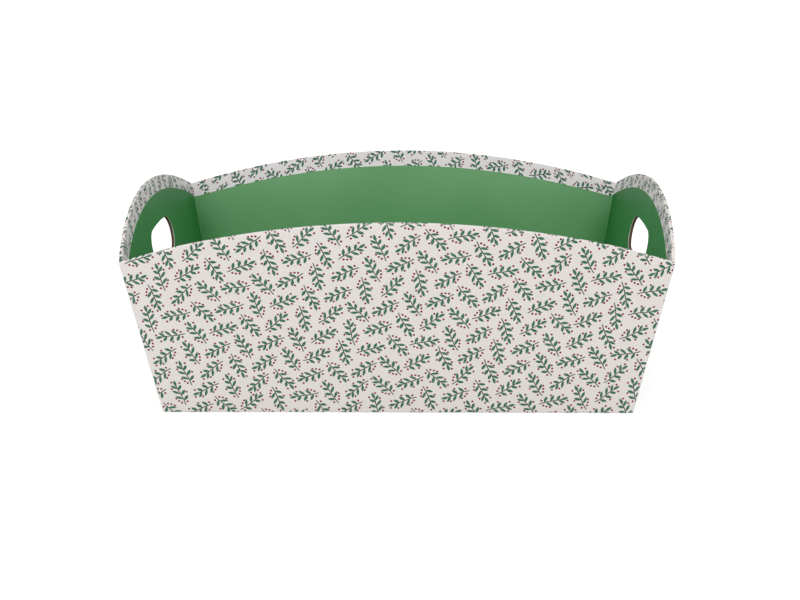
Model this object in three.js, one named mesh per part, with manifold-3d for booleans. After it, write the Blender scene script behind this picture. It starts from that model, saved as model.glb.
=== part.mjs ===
// Flared hamper tray: rigid board walls wrapped in printed paper and lined in green.
// Millimetres, +Z up. Origin at the middle of the underside, long walls along X, front at -Y.
import * as THREE from 'three';
import { mergeVertices } from 'three/addons/utils/BufferGeometryUtils.js';
import Module from 'manifold-3d';

const wasm = await Module();
wasm.setup();

// Board shell, measured over the outer faces of the boards
const BASE_WIDTH = 355;       // along X at the underside
const BASE_DEPTH = 255;       // along Y at the underside
const CORNER_HEIGHT = 122.5;  // height of the rim at the corners
const FLARE = 22;             // how far each wall leans out over the corner height
const LONG_RISE = 30.5;       // rise of the long rims above the corners
const END_RISE = 30.5;        // rise of the short rims above the corners
const RIM_STEPS = 36;         // straight steps in each arched rim

// Sheet stock
const BOARD = 2.2;            // greyboard
const PAPER = 0.2;            // printed wrap and base sheet
const CARD = 0.25;            // green lining
const TAPE = 0.12;            // corner stays
const GLUE = 0.1;             // glue line between two layers
const BUTT = 0.2;             // clearance where two edges meet

// Folds and laps
const LONG_TURN_IN = 14;      // turned-in print that shows above the lining of the long walls
const END_TURN_IN = 12;       // and of the short walls
const TUCK = 5;               // turn-in hidden under the lining
const TURN_UNDER = 15;        // wrap turned under the base
const OUTER_LAP = 12;         // end wrap lapped round the corner, under the long wrap
const INNER_LAP = 11;         // end turn-in lapped round the corner, over the long turn-in
const STAY_WIDTH = 16;        // each leg of a corner stay
const SHEET_INSET = 5;        // base sheet, in from the edge of the base

// Hand holes, punched square to the end walls
const HOLE_WIDTH = 84;
const HOLE_HEIGHT = 29.5;
const HOLE_BELOW_CORNER = 3.5; // top of the hole below the level of the rim corners
const HOLE_STEPS = 14;        // straight steps in each round end

// Derived sizes
const LEAN = Math.atan2(FLARE, CORNER_HEIGHT);
const SLANT = CORNER_HEIGHT / Math.cos(LEAN);
const SKIN = GLUE + PAPER;
const LONG_SKIN = SKIN + GLUE + PAPER;
const INSIDE = -BOARD;
const TURN_IN_FACE = INSIDE - SKIN;
const LINER_BACK = TURN_IN_FACE - GLUE;
const LINER_FACE = LINER_BACK - CARD;
const TAB_FACE = LINER_BACK - PAPER;
const UNDERSIDE = 2 * SKIN;
const FAR = 50;               // past anything that is cut
const SEARCH_STEPS = 8;       // to find where a leaning side meets the arched rim

const wallTypes = {
  long: { half: BASE_WIDTH / 2, run: BASE_DEPTH / 2, rise: LONG_RISE, turnIn: LONG_TURN_IN },
  end: { half: BASE_DEPTH / 2, run: BASE_WIDTH / 2, rise: END_RISE, turnIn: END_TURN_IN },
};
const walls = {
  front: { type: wallTypes.long, turn: 0 },
  right: { type: wallTypes.end, turn: Math.PI / 2 },
  back: { type: wallTypes.long, turn: Math.PI },
  left: { type: wallTypes.end, turn: -Math.PI / 2 },
};

// Which end of each wall meets at each corner, as the sign of u
const corners = [
  { long: 'front', end: 'left', longSign: -1, endSign: 1 },
  { long: 'front', end: 'right', longSign: 1, endSign: -1 },
  { long: 'back', end: 'left', longSign: 1, endSign: -1 },
  { long: 'back', end: 'right', longSign: -1, endSign: 1 },
];

// Each wall has its own axes: u along it, v up its slope and n out of its outer board face
function wallMatrix(wall) {
  const turn = new THREE.Matrix4().makeRotationZ(wall.turn);
  const place = new THREE.Matrix4().makeTranslation(0, -wall.type.run, UNDERSIDE);
  const lean = new THREE.Matrix4().makeRotationX(Math.PI / 2 + LEAN);
  return turn.multiply(place).multiply(lean);
}

// From the axes of one wall to those of another
function betweenWalls(from, to) {
  return wallMatrix(to).invert().multiply(wallMatrix(from));
}

// Corners of the arched rim of a wall: u along it and v up its slope, from one end to the other
function rimPoints(type) {
  const corner = type.half + SLANT * Math.sin(LEAN);
  return Array.from({ length: RIM_STEPS + 1 }, (_, i) => {
    const along = 1 - 2 * i / RIM_STEPS;
    const rise = type.rise / Math.cos(LEAN) * (1 - along ** 2);
    return new THREE.Vector2(corner * along, SLANT + rise);
  });
}

// Height of the rim at u, measured up the slope on its straight steps
function rimAt(type, u) {
  const points = rimPoints(type);
  const next = points.findIndex((point) => point.x <= Math.abs(u) - 1e-9);
  if (next <= 0) return SLANT;
  const [from, to] = [points[next - 1], points[next]];
  return from.y + (to.y - from.y) * (Math.abs(u) - from.x) / (to.x - from.x);
}

// Half-length of a wall at v = 0, up to the plane at a depth n of its neighbours, at its own depth
function reach(type, neighbourDepth, ownDepth) {
  return type.half + neighbourDepth / Math.cos(LEAN) - ownDepth * Math.sin(LEAN) * Math.tan(LEAN);
}

// Outline of a wall: level foot, leaning sides and arched rim, lifted or lowered
function wallShape(type, halfFoot, lift, foot) {
  const side = (v) => halfFoot + v * Math.sin(LEAN);
  let top = side(SLANT + lift);
  for (let i = 0; i < SEARCH_STEPS; i += 1) {
    top = side(rimAt(type, top) + lift);
  }
  const shape = new THREE.Shape();
  shape.moveTo(-side(foot), foot);
  shape.lineTo(side(foot), foot);
  shape.lineTo(top, rimAt(type, top) + lift);
  for (const point of rimPoints(type)) {
    if (Math.abs(point.x) < top - 1e-6) shape.lineTo(point.x, point.y + lift);
  }
  shape.lineTo(-top, rimAt(type, top) + lift);
  shape.closePath();
  return shape;
}

function polygon(points) {
  return new THREE.Shape(points.map(([x, y]) => new THREE.Vector2(x, y)));
}

// A shape given thickness between two depths, as a geometry
function slab(shape, low, high) {
  const geometry = new THREE.ExtrudeGeometry(shape, {
    depth: high - low,
    bevelEnabled: false,
    curveSegments: HOLE_STEPS,
  });
  return geometry.translate(0, 0, low);
}

// Geometry to solid and back, for cuts and joins
function solid(geometry, matrix = new THREE.Matrix4()) {
  const copy = geometry.clone().applyMatrix4(matrix);
  copy.deleteAttribute('normal');
  copy.deleteAttribute('uv');
  const merged = mergeVertices(copy, 1e-4);
  const mesh = new wasm.Mesh({
    numProp: 3,
    vertProperties: new Float32Array(merged.attributes.position.array),
    triVerts: new Uint32Array(merged.index.array),
  });
  return new wasm.Manifold(mesh);
}

function geometryOf(body) {
  const mesh = body.getMesh();
  const geometry = new THREE.BufferGeometry();
  geometry.setAttribute('position', new THREE.BufferAttribute(mesh.vertProperties, 3));
  geometry.setIndex(new THREE.BufferAttribute(mesh.triVerts, 1));
  geometry.computeVertexNormals();
  return geometry;
}

// Materials
const materials = {
  board: new THREE.MeshStandardMaterial({ color: 0x9a8468, roughness: 0.95, metalness: 0 }),
  stay: new THREE.MeshStandardMaterial({ color: 0xb59a72, roughness: 0.9, metalness: 0 }),
  wrap: new THREE.MeshStandardMaterial({ color: 0xddd7d4, roughness: 0.55, metalness: 0 }),
  liner: new THREE.MeshStandardMaterial({ color: 0x559a5e, roughness: 0.6, metalness: 0 }),
  underside: new THREE.MeshStandardMaterial({ color: 0xe4dfd8, roughness: 0.8, metalness: 0 }),
};

function piece(name, geometry, material) {
  const mesh = new THREE.Mesh(geometry, material);
  mesh.name = name;
  return mesh;
}

const tray = new THREE.Group();
const wallGroups = {};
for (const [side, wall] of Object.entries(walls)) {
  const turned = new THREE.Group();
  turned.rotation.z = wall.turn;
  const leaning = new THREE.Group();
  leaning.position.set(0, -wall.type.run, UNDERSIDE);
  leaning.rotation.x = Math.PI / 2 + LEAN;
  turned.add(leaning);
  tray.add(turned);
  wallGroups[side] = leaning;
}

// Hand hole: a slot with round ends
const holeRadius = HOLE_HEIGHT / 2;
const holeMiddle = SLANT - HOLE_BELOW_CORNER - holeRadius;
const holeStraight = HOLE_WIDTH / 2 - holeRadius;
function addHole(path) {
  path.absarc(holeStraight, holeMiddle, holeRadius, -Math.PI / 2, Math.PI / 2, false);
  path.absarc(-holeStraight, holeMiddle, holeRadius, Math.PI / 2, Math.PI * 1.5, false);
  path.closePath();
  return path;
}
const holePunch = solid(slab(addHole(new THREE.Shape()), -FAR, FAR));

// Boards: the long ones run from corner to corner and the short ones stand between them
const boardInset = BOARD / Math.cos(LEAN) + BUTT;
const baseBoard = new THREE.BoxGeometry(BASE_WIDTH - 2 * boardInset, BASE_DEPTH - 2 * boardInset, BOARD);
baseBoard.translate(0, 0, UNDERSIDE + BOARD / 2);
tray.add(piece('base_board', baseBoard, materials.board));

for (const side of ['front', 'back']) {
  const shape = wallShape(wallTypes.long, wallTypes.long.half, 0, 0);
  wallGroups[side].add(piece(`${side}_board`, slab(shape, INSIDE, 0), materials.board));
}
for (const side of ['left', 'right']) {
  const shape = wallShape(wallTypes.end, reach(wallTypes.end, INSIDE - BUTT, 0), 0, 0);
  shape.holes.push(addHole(new THREE.Path()));
  wallGroups[side].add(piece(`${side}_end_board`, slab(shape, INSIDE, 0), materials.board));
}

// Corner stays: a folded tape in each inside corner, below the turn-ins
function stayLeg(type, sign) {
  const edge = reach(type, INSIDE - GLUE - TAPE / 2, INSIDE - GLUE);
  const foot = (BOARD + 2 * BUTT) / Math.cos(LEAN);
  const top = SLANT - Math.max(LONG_TURN_IN, END_TURN_IN) - TUCK - STAY_WIDTH / 4;
  const outer = (v) => sign * (edge + v * Math.sin(LEAN));
  const inner = (v) => outer(v) - sign * STAY_WIDTH;
  const shape = polygon([[inner(foot), foot], [outer(foot), foot], [outer(top), top], [inner(top), top]]);
  return slab(shape, INSIDE - GLUE - TAPE, INSIDE - GLUE);
}
for (const { long, end, longSign, endSign } of corners) {
  const toLong = betweenWalls(walls[end], walls[long]);
  const body = solid(stayLeg(wallTypes.long, longSign)).add(solid(stayLeg(wallTypes.end, endSign), toLong));
  wallGroups[long].add(piece(`corner_stay_${long}_${end}`, geometryOf(body), materials.stay));
}

// Everything on the inside of a wall below a line that follows the rim
function insideBelow(type, drop) {
  const shape = wallShape(type, type.half + FAR, -drop, -FAR);
  return solid(slab(shape, -FAR, INSIDE / 2));
}

// One end of a wall past a half-length, on its inner side up to a depth
function insideCorner(halfFoot, depth, sign) {
  const side = (v) => sign * (halfFoot + v * Math.sin(LEAN));
  const top = SLANT + FAR;
  const past = side(top) + sign * FAR;
  const shape = polygon([[side(-FAR), -FAR], [past, -FAR], [past, top], [side(top), top]]);
  return solid(slab(shape, -FAR, depth));
}

// The strip of a wrap that is turned under the base, with mitred ends
function turnUnder(wall, skin, endTrim) {
  const outer = wall.type.run + (skin - PAPER / 2) / Math.cos(LEAN) - SKIN * Math.tan(LEAN);
  const inner = wall.type.run - TURN_UNDER;
  const outerHalf = wall.type.half - endTrim;
  const innerHalf = outerHalf - TURN_UNDER;
  const shape = polygon([
    [-outerHalf, -outer], [outerHalf, -outer], [innerHalf, -inner], [-innerHalf, -inner],
  ]);
  const toWall = wallMatrix(wall).invert().multiply(new THREE.Matrix4().makeRotationZ(wall.turn));
  return solid(slab(shape, UNDERSIDE - SKIN, UNDERSIDE - GLUE), toWall);
}

// A sheet over the outer face of a wall and its rim, turned in on the inside and under the base
function foldedSheet(wall, { skin, outerHalf, rimHalf, rimDepth, endTrim }) {
  const type = wall.type;
  const foot = -(GLUE + PAPER / 4) / Math.cos(LEAN);
  const block = solid(slab(wallShape(type, outerHalf, SKIN, foot), TURN_IN_FACE, skin));
  const boardSpace = solid(slab(wallShape(type, type.half + FAR, GLUE, -FAR), INSIDE - GLUE, skin - PAPER));
  return block
    .subtract(boardSpace)
    .subtract(insideBelow(type, type.turnIn + TUCK))
    .subtract(insideCorner(rimHalf, rimDepth, 1))
    .subtract(insideCorner(rimHalf, rimDepth, -1))
    .add(turnUnder(wall, skin, endTrim));
}

// Long wraps: they cover the end laps and stop just short of the corner edge
for (const side of ['front', 'back']) {
  const body = foldedSheet(walls[side], {
    skin: LONG_SKIN,
    outerHalf: reach(wallTypes.long, -BUTT, LONG_SKIN),
    rimHalf: reach(wallTypes.long, INSIDE - 2 * GLUE, TURN_IN_FACE),
    rimDepth: INSIDE,
    endTrim: 0,
  });
  wallGroups[side].add(piece(`${side}_wrap`, geometryOf(body), materials.wrap));
}

// Flap of an end wrap on the outside of a long wall
function outerLap(sign) {
  const edge = reach(wallTypes.long, SKIN - PAPER / 4, SKIN);
  const [foot, top] = [PAPER * 5, SLANT - PAPER * 5];
  const outer = (v) => sign * (edge + v * Math.sin(LEAN));
  const inner = (v) => outer(v) - sign * OUTER_LAP;
  const cut = OUTER_LAP / 4;
  const shape = polygon([
    [outer(foot), foot], [outer(top), top], [inner(top - cut), top - cut], [inner(foot + cut), foot + cut],
  ]);
  return slab(shape, GLUE, SKIN);
}

// Tab of an end turn-in on the inside of a long wall, over the long turn-in
function innerLap(sign) {
  const corner = wallTypes.long.half + SLANT * Math.sin(LEAN);
  const inner = corner + INSIDE - INNER_LAP;
  const upper = (u) => rimAt(wallTypes.long, u) - GLUE;
  const lower = (u) => rimAt(wallTypes.long, u) - LONG_TURN_IN + 2 * BUTT;
  const shape = polygon([
    [sign * corner, upper(corner)], [sign * inner, upper(inner)],
    [sign * inner, lower(inner)], [sign * corner, lower(corner)],
  ]);
  return slab(shape, TAB_FACE, LINER_BACK);
}

// End wraps: their rim lies between the long walls, and their flaps lap round the corners
for (const side of ['left', 'right']) {
  const wall = walls[side];
  let body = foldedSheet(wall, {
    skin: SKIN,
    outerHalf: reach(wallTypes.end, SKIN - PAPER / 4, SKIN),
    rimHalf: reach(wallTypes.end, LINER_BACK, 0),
    rimDepth: GLUE,
    endTrim: 2 * SKIN,
  });
  for (const { long, longSign } of corners.filter((corner) => corner.end === side)) {
    const toEnd = betweenWalls(walls[long], wall);
    const flap = solid(outerLap(longSign), toEnd);
    const tab = solid(innerLap(longSign), toEnd).trimByPlane([0, 0, -1], GLUE + PAPER / 4 - INSIDE);
    body = body.add(flap).add(tab);
  }
  wallGroups[side].add(piece(`${side}_end_wrap`, geometryOf(body.subtract(holePunch)), materials.wrap));
}

// Base sheet over the turned-under edges
const baseSheet = new THREE.BoxGeometry(BASE_WIDTH - 2 * SHEET_INSET, BASE_DEPTH - 2 * SHEET_INSET, PAPER);
baseSheet.translate(0, 0, PAPER / 2);
tray.add(piece('base_sheet', baseSheet, materials.underside));

// Lining panels: the long ones reach into the corners and the short ones stand between them
const linerFoot = (BOARD + BUTT) / Math.cos(LEAN) + BUTT;
for (const side of ['front', 'back']) {
  const half = reach(wallTypes.long, LINER_BACK - GLUE, LINER_BACK);
  const shape = wallShape(wallTypes.long, half, -LONG_TURN_IN, linerFoot);
  wallGroups[side].add(piece(`${side}_liner`, slab(shape, LINER_FACE, LINER_BACK), materials.liner));
}
for (const side of ['left', 'right']) {
  const half = reach(wallTypes.end, LINER_FACE - GLUE, LINER_BACK);
  const shape = wallShape(wallTypes.end, half, -END_TURN_IN, linerFoot);
  shape.holes.push(addHole(new THREE.Path()));
  wallGroups[side].add(piece(`${side}_end_liner`, slab(shape, LINER_FACE, LINER_BACK), materials.liner));
}
const linerBed = BOARD + GLUE;
const linerInset = (BUTT - LINER_FACE) / Math.cos(LEAN) - linerBed * Math.tan(LEAN);
const baseLiner = new THREE.BoxGeometry(BASE_WIDTH - 2 * linerInset, BASE_DEPTH - 2 * linerInset, CARD);
baseLiner.translate(0, 0, UNDERSIDE + linerBed + CARD / 2);
tray.add(piece('base_liner', baseLiner, materials.liner));

export default tray;
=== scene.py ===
"""Wrapped-board hamper tray with arched rims, printed paper, green lining and hand holes, in metres."""
import math

import bmesh
import bpy
from mathutils import Matrix, Vector
from mathutils.geometry import delaunay_2d_cdt


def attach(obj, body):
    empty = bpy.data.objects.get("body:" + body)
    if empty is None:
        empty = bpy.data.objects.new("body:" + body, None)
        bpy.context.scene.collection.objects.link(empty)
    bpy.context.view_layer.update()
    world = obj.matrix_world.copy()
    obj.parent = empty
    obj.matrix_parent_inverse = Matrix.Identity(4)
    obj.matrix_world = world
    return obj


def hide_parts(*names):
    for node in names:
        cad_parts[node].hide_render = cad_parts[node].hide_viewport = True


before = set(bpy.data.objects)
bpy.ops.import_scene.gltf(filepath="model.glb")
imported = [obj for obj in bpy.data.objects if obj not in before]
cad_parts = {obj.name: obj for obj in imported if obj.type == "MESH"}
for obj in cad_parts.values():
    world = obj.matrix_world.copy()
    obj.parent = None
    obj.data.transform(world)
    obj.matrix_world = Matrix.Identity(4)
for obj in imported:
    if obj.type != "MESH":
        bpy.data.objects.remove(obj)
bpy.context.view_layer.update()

# Sizes of the solids
MM = 0.001
BASE_WIDTH = 355 * MM
BASE_DEPTH = 255 * MM
CORNER_HEIGHT = 122.5 * MM
FLARE = 22 * MM
LONG_RISE = 30.5 * MM
END_RISE = 30.5 * MM
BOARD = 2.2 * MM
PAPER = 0.2 * MM
CARD = 0.25 * MM
TAPE = 0.12 * MM
GLUE = 0.1 * MM
LONG_TURN_IN = 14 * MM
END_TURN_IN = 12 * MM
TUCK = 5 * MM
TURN_UNDER = 15 * MM
OUTER_LAP = 12 * MM
INNER_LAP = 11 * MM
STAY_WIDTH = 16 * MM
SHEET_INSET = 5 * MM
HOLE_WIDTH = 84 * MM
HOLE_HEIGHT = 29.5 * MM
HOLE_BELOW_CORNER = 3.5 * MM

# What follows from them
LEAN = math.atan2(FLARE, CORNER_HEIGHT)
SIN, COS, TAN = math.sin(LEAN), math.cos(LEAN), math.tan(LEAN)
SLANT = CORNER_HEIGHT / COS
SKIN = GLUE + PAPER
LONG_SKIN = 2 * SKIN
UNDERSIDE = 2 * SKIN
FLOOR_LEVEL = UNDERSIDE + BOARD + GLUE + CARD
FLOOR_INSET = BOARD / COS - (BOARD + GLUE + CARD) * TAN + 2 * GLUE
HOLE_RADIUS = HOLE_HEIGHT / 2
HOLE_STRAIGHT = HOLE_WIDTH / 2 - HOLE_RADIUS
HOLE_MIDDLE = SLANT - HOLE_BELOW_CORNER - HOLE_RADIUS

# Finer shapes of the paper and the board
WALL_BOW = 3.2 * MM          # how far the middle of a wall swells out, at the height of the corners
BOW_POWER = 2.9              # 2 is a parabola, more is flatter in the middle
RIM_FOLD = 0.6 * MM          # radius of the folds over the rim
FOOT_FOLD = 0.6 * MM         # radius of the fold at the foot
CORNER_FOLD = 0.9 * MM       # radius of the upright corner folds
CORNER_FOLD_RUN = 1.6        # length of paper in a corner fold, in radii
CORNER_CAP = SKIN + 2 * GLUE     # how far the rim of a long wrap reaches out over the corner
CORNER_WEAR = 1.2 * MM       # how far the two front corners of the rim have sunk
LONG_WEAR_REACH = 52 * MM    # from the corner, along the front wall
END_WEAR_REACH = 16 * MM     # from the corner, along the ends
LAP_BLEND = 38 * MM          # over which the long wraps rise onto the corner laps
BOARD_FACE = 0.06 * MM       # the board swells into the glue line
BOARD_EASE = 0.4 * MM        # how far the edges of the board are pressed in under the paper
PLY = 0.45 * MM              # thickness of the paler ply on the inside of the board
HOLE_ARCH = 1.0 * MM         # how far the top edge of a hand hole falls to where its round ends start
LINER_BLEND = 40 * MM        # over which the lining rises onto the turn-in
LINER_GAP = 0.3 * MM         # between the wall linings and the floor
LINER_BUTT = 0.04 * MM       # between the end linings and the long ones
LINING_CORNER = 12.6 * MM    # how far the lining stays below the rim at the corners of the long walls
LINING_CURVE = 12            # power of the change towards those corners
TAB_HANG = 0.4 * MM          # how far the corner tabs hang over the lining
TAB_DROP = LINING_CORNER + TAB_HANG
TAB_SHADE = 0.5 * MM         # width of the shaded line along the free edge of a tab
CREASE = 1.1 * MM            # width of the painted highlight along the edge of the lining in the upright corners
PANEL_RADIUS = 2 * MM        # of the corners of the base panels
FLOOR_SWELL = 0.4 * MM       # how far the middle of the floor lining stands up
SHEET_SWELL = 0.05 * MM      # the same for the sheet under the base

# Levels of the layers, out of the outer face of the board
INSIDE = -BOARD
TURN_IN_FACE = INSIDE - SKIN
STAY_FACE = INSIDE - GLUE - TAPE
LINER_FACE = TURN_IN_FACE - GLUE - CARD      # lining on the turn-in
LINER_FIELD = STAY_FACE - CARD               # lining on the board
LINER_PRESSED = INSIDE - CARD - 0.2 * GLUE   # lining at the edge of a hand hole
TAB_FACE = LINER_FACE - PAPER - 0.5 * GLUE
RIM_LIFT = SKIN - RIM_FOLD                   # start of the rim fold, above the rim of the board
FOOT_PULL = FOOT_FOLD / math.tan((math.pi / 2 + LEAN) / 2)
FACE_LOW = (LONG_SKIN * SIN - SKIN) / COS + FOOT_PULL    # foot of the outer face, above its fold

# Painted shade on the lining: a darker, duller green low and towards the back corners
SHADE_ALONG = 70 * MM         # how far it reaches from the corner along the ends
SHADE_ACROSS = 18 * MM        # and along the back wall
SHADE_CORE = 1.3              # more than 1 keeps it full close to the corner
SHADE_HEIGHTS = (76 * MM, 116 * MM)    # between which it fades on the back wall
BACK_SHADE = 0.2              # share of it low on the whole back wall
BACK_SHADE_HEIGHTS = (80 * MM, 140 * MM)    # between which that fades

# Fineness of the meshes
STATIONS = 112               # steps along a wall
SIDE_STEPS = 24              # steps up the side of a wall
STRIP_STEPS = 4              # steps across a tab, turn-in or tape
FOLD_STEPS = 5
HOLE_END_STEPS = 28
HOLE_EDGE_STEPS = 10
PANEL_CORNER_STEPS = 6
SPAN_ROUNDS = 8              # rounds in which the ends of a top line are found
FACE_GRID = 6 * MM           # spacing of points on the walls
FACE_CLEAR = FACE_GRID * 0.6     # how far these stay from the edges
PANEL_GRID = 12 * MM         # spacing of points on the base panels
PANEL_CLEAR = 3 * MM
FILL_INSIDE = 1              # fills an outline and drops what lies outside it
FILL_NEAR = 1e-7             # points this near are one where a face is filled
WELD = 2e-6                  # and where the parts of a sheet are joined
SHARP = math.radians(38)     # edges that turn more than this stay sharp
SHOWN = "_shown"             # ends the name of a piece that stands for a solid


def smooth(low, high, value):
    """0 below low and 1 above high, with a soft change between."""
    t = min(1.0, max(0.0, (value - low) / (high - low)))
    return t * t * (3 - 2 * t)


def steps(low, high, count):
    """Both ends and the even steps between them."""
    return [low + (high - low) * i / count for i in range(count + 1)]


class Wall:
    """One wall and its axes: u along it, v up its slope and n out of its outer board face.

    worn_sides holds the signs of u at which the rim has sunk. back_side is the sign of u in the back corner,
    0 where both ends of the wall are in one and None where none is.
    """

    def __init__(
        self, name, half, run, rise, turn_in, wear_reach, turn, print_shift, worn_sides=(), back_side=None,
    ):
        self.name = name
        self.half = half
        self.rise = rise / COS
        self.turn_in = turn_in
        self.wear_reach = wear_reach
        self.print_shift = print_shift
        self.worn_sides = worn_sides
        self.back_side = back_side
        self.corner = half + SLANT * SIN
        place = Matrix.Translation((0, -run, UNDERSIDE))
        self.matrix = Matrix.Rotation(turn, 4, "Z") @ place @ Matrix.Rotation(math.pi / 2 + LEAN, 4, "X")

    def rim(self, u):
        """Height of the arched rim of the board."""
        wear = 0.0
        if math.copysign(1, u) in self.worn_sides:
            wear = CORNER_WEAR * smooth(self.corner - self.wear_reach, self.corner, abs(u))
        return SLANT + self.rise * max(0.0, 1 - (u / self.corner) ** 2) - wear

    def reach(self, neighbour_depth, own_depth=0.0):
        """Half-length at v = 0 up to the plane at that depth of the next wall."""
        return self.half + neighbour_depth / COS - own_depth * SIN * TAN

    def lining_top(self, u):
        """Upper edge of the lining, which comes nearer to the rim at the corners of the long walls."""
        rise = max(0.0, self.turn_in - LINING_CORNER) * min(1.0, abs(u) / self.corner) ** LINING_CURVE
        return self.rim(u) - self.turn_in + rise

    def bow(self, u, v):
        """How far the wall swells out, more towards the middle and the rim."""
        t = min(1.0, abs(u) / (self.half + max(0.0, v) * SIN))
        return WALL_BOW * (1 - t ** BOW_POWER) * max(0.0, v) / SLANT


LONG = {
    "half": BASE_WIDTH / 2, "run": BASE_DEPTH / 2, "rise": LONG_RISE,
    "turn_in": LONG_TURN_IN, "wear_reach": LONG_WEAR_REACH,
}
END = {
    "half": BASE_DEPTH / 2, "run": BASE_WIDTH / 2, "rise": END_RISE,
    "turn_in": END_TURN_IN, "wear_reach": END_WEAR_REACH,
}
front = Wall("front", **LONG, turn=0.0, print_shift=(0.0045, 0.002), worn_sides=(-1, 1))
right = Wall("right_end", **END, turn=math.pi / 2, print_shift=(0.431, 0.077), worn_sides=(-1,), back_side=1)
back = Wall("back", **LONG, turn=math.pi, print_shift=(0.913, 0.038), back_side=0)
left = Wall("left_end", **END, turn=-math.pi / 2, print_shift=(1.377, 0.113), worn_sides=(1,), back_side=-1)

# The long walls at each end, with the sign of u there on the long wall and on the end
CORNERS = {left: ((front, -1, 1), (back, 1, -1)), right: ((front, 1, -1), (back, -1, 1))}


# Outlines

def top_span(half_foot, top):
    """Where the two leaning sides meet a top line, given as a function of u."""
    span = []
    for sign in (-1, 1):
        u = half_foot + SLANT * SIN
        for _ in range(SPAN_ROUNDS):
            u = half_foot + top(sign * u) * SIN
        span.append(sign * u)
    return span


def across(span, share, grow=0.0):
    """Place at a share from -1 to 1 along a span that grows by the same at both ends."""
    low, high = span[0] - grow, span[1] + grow
    return low + (high - low) * (share + 1) / 2


def wall_outline(half_foot, low, top):
    """Loop of points round a wall: foot, leaning side, top line, leaning side."""
    low_end, high_end = top_span(half_foot, top)
    foot = half_foot + low * SIN
    loop = [(u, low) for u in steps(-foot, foot, STATIONS)]
    loop += [(half_foot + v * SIN, v) for v in steps(low, top(high_end), SIDE_STEPS)[1:-1]]
    loop += [(u, top(u)) for u in steps(high_end, low_end, STATIONS)]
    loop += [(-half_foot - v * SIN, v) for v in steps(top(low_end), low, SIDE_STEPS)[1:-1]]
    return loop


def arched_share(u):
    """How much of the upper half of a hand hole is left at a place along it, since its top edge is arched."""
    return 1 - HOLE_ARCH * (u / HOLE_STRAIGHT) ** 2 / HOLE_RADIUS


def hole_distance(u, v):
    """About the distance outside the hand hole, negative inside it."""
    rise = v - HOLE_MIDDLE
    if rise > 0:
        rise /= arched_share(min(abs(u), HOLE_WIDTH / 2))
    return math.hypot(max(0.0, abs(u) - HOLE_STRAIGHT), rise) - HOLE_RADIUS


def hole_outline():
    """Slot with round ends and a slightly arched top edge, in even steps."""
    slot = []
    for side in (1, -1):
        for angle in steps(-math.pi / 2, math.pi / 2, HOLE_END_STEPS):
            u = HOLE_STRAIGHT + HOLE_RADIUS * math.cos(angle)
            slot.append((side * u, side * HOLE_RADIUS * math.sin(angle)))
        for u in steps(HOLE_STRAIGHT, -HOLE_STRAIGHT, HOLE_EDGE_STEPS)[1:-1]:
            slot.append((side * u, side * HOLE_RADIUS))
    return [(u, HOLE_MIDDLE + (rise * arched_share(u) if rise > 0 else rise)) for u, rise in slot]


def inner_points(half_foot, low, high, hole):
    """An even spread of points inside a wall outline, clear of its edges."""
    points = []
    for row in range(int((high(0.0) - low) / FACE_GRID) + 1):
        v = low + FACE_CLEAR + row * FACE_GRID
        side = half_foot + v * SIN - FACE_CLEAR
        columns = int(side / FACE_GRID)
        for column in range(-columns, columns + 1):
            u = (column + 0.5 * (row % 2)) * FACE_GRID
            in_hole = hole and hole_distance(u, v) < FACE_CLEAR
            if abs(u) < side and v < high(u) - FACE_CLEAR and not in_hole:
                points.append((u, v))
    return points


def fold_points(start, corner, end, radius):
    """Round fold at a corner between two straight runs, in two dimensions."""
    corner = Vector(corner)
    before = (Vector(start) - corner).normalized()
    after = (Vector(end) - corner).normalized()
    half_angle = before.angle(after) / 2
    middle = corner + (before + after).normalized() * (radius / math.sin(half_angle))
    first = corner + before * (radius / math.tan(half_angle)) - middle
    last = corner + after * (radius / math.tan(half_angle)) - middle
    turn = first.angle_signed(last)
    return [middle + Matrix.Rotation(-turn * k / FOLD_STEPS, 2) @ first for k in range(FOLD_STEPS + 1)]


def travelled(path):
    """How far along a path each of its points lies."""
    lengths = [0.0]
    for before, after in zip(path, path[1:]):
        lengths.append(lengths[-1] + (after - before).length)
    return lengths


# How much paler the paper is at each point of a fold
FOLD_MARKS = [math.sin(math.pi * k / FOLD_STEPS) for k in range(FOLD_STEPS + 1)]


# Sheets

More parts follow.
